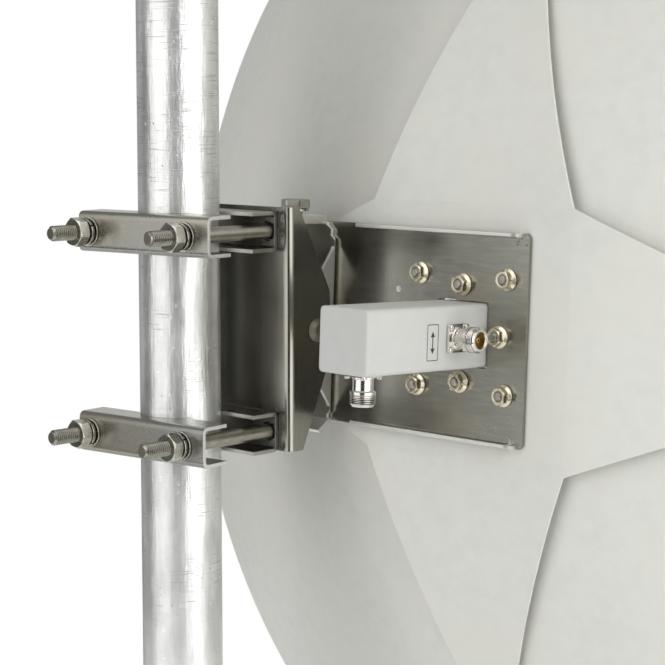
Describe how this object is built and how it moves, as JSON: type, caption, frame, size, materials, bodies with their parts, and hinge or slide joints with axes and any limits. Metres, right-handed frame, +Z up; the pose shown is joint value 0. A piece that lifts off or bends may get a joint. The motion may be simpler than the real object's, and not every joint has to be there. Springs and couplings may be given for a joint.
{
  "type": "parabolic dish antenna",
  "caption": "Painted sheet reflector antenna with a boxed feed and coaxial sockets, hung on a folded steel bracket that clamps to a round post with a foot plate.",
  "frame": {"origin": "centre of the underside of the foot plate, on the pole's axis", "axes": "+Z up along the pole, -Y the way the dish looks, +X to the right seen from in front of the dish"},
  "size_m": [0.808, 0.4872, 1.0474],
  "materials": {
    "galvanised": "galvanised, streaked",
    "sheet": "brushed stainless sheet",
    "fixings": "bright, slightly yellow",
    "painted": "light grey powder coat",
    "tube": "satin",
    "box": "satin white",
    "plated": "nickel plate",
    "cap": "matte black",
    "feed_cap": "satin pale grey"
  },
  "bodies": {
    "stand": {"pole": "galvanised", "foot_plate": "galvanised", "pole_cap": "cap"},
    "mount": {"pole_bracket": "sheet", "near_pivot_bolt": "fixings", "far_pivot_bolt": "fixings", "upper_inner_clamp": "sheet", "upper_outer_clamp": "sheet", "lower_inner_clamp": "sheet", "lower_outer_clamp": "sheet", "upper_near_clamp_bolt": "fixings", "upper_near_clamp_nut": "fixings", "upper_far_clamp_bolt": "fixings", "upper_far_clamp_nut": "fixings", "lower_near_clamp_bolt": "fixings", "lower_near_clamp_nut": "fixings", "lower_far_clamp_bolt": "fixings", "lower_far_clamp_nut": "fixings"},
    "antenna": {"back_plate": "sheet", "fork": "sheet", "stiffening_star": "painted", "reflector": "painted", "feed_box": "box", "bottom_socket": "plated", "side_socket": "plated", "feed_tube": "tube", "feed_cap": "feed_cap", "adjusting_screw": "fixings", "screw_1": "fixings", "flange_nut_1": "fixings", "screw_2": "fixings", "flange_nut_2": "fixings", "screw_3": "fixings", "flange_nut_3": "fixings", "screw_4": "fixings", "flange_nut_4": "fixings", "screw_5": "fixings", "flange_nut_5": "fixings", "screw_6": "fixings", "flange_nut_6": "fixings", "screw_7": "fixings", "flange_nut_7": "fixings", "screw_8": "fixings", "flange_nut_8": "fixings"}
  },
  "joints": [
    {"name": "azimuth", "type": "hinge", "parent": "stand", "child": "mount", "pos_m": [0, 0, 0.65], "axis": [0, 0, 1], "range_deg": [-180, 180]},
    {"name": "elevation", "type": "hinge", "parent": "mount", "child": "antenna", "pos_m": [0, -0.0688, 0.6448], "axis": [-1, 0, 0], "range_deg": [-10, 8]}
  ]
}
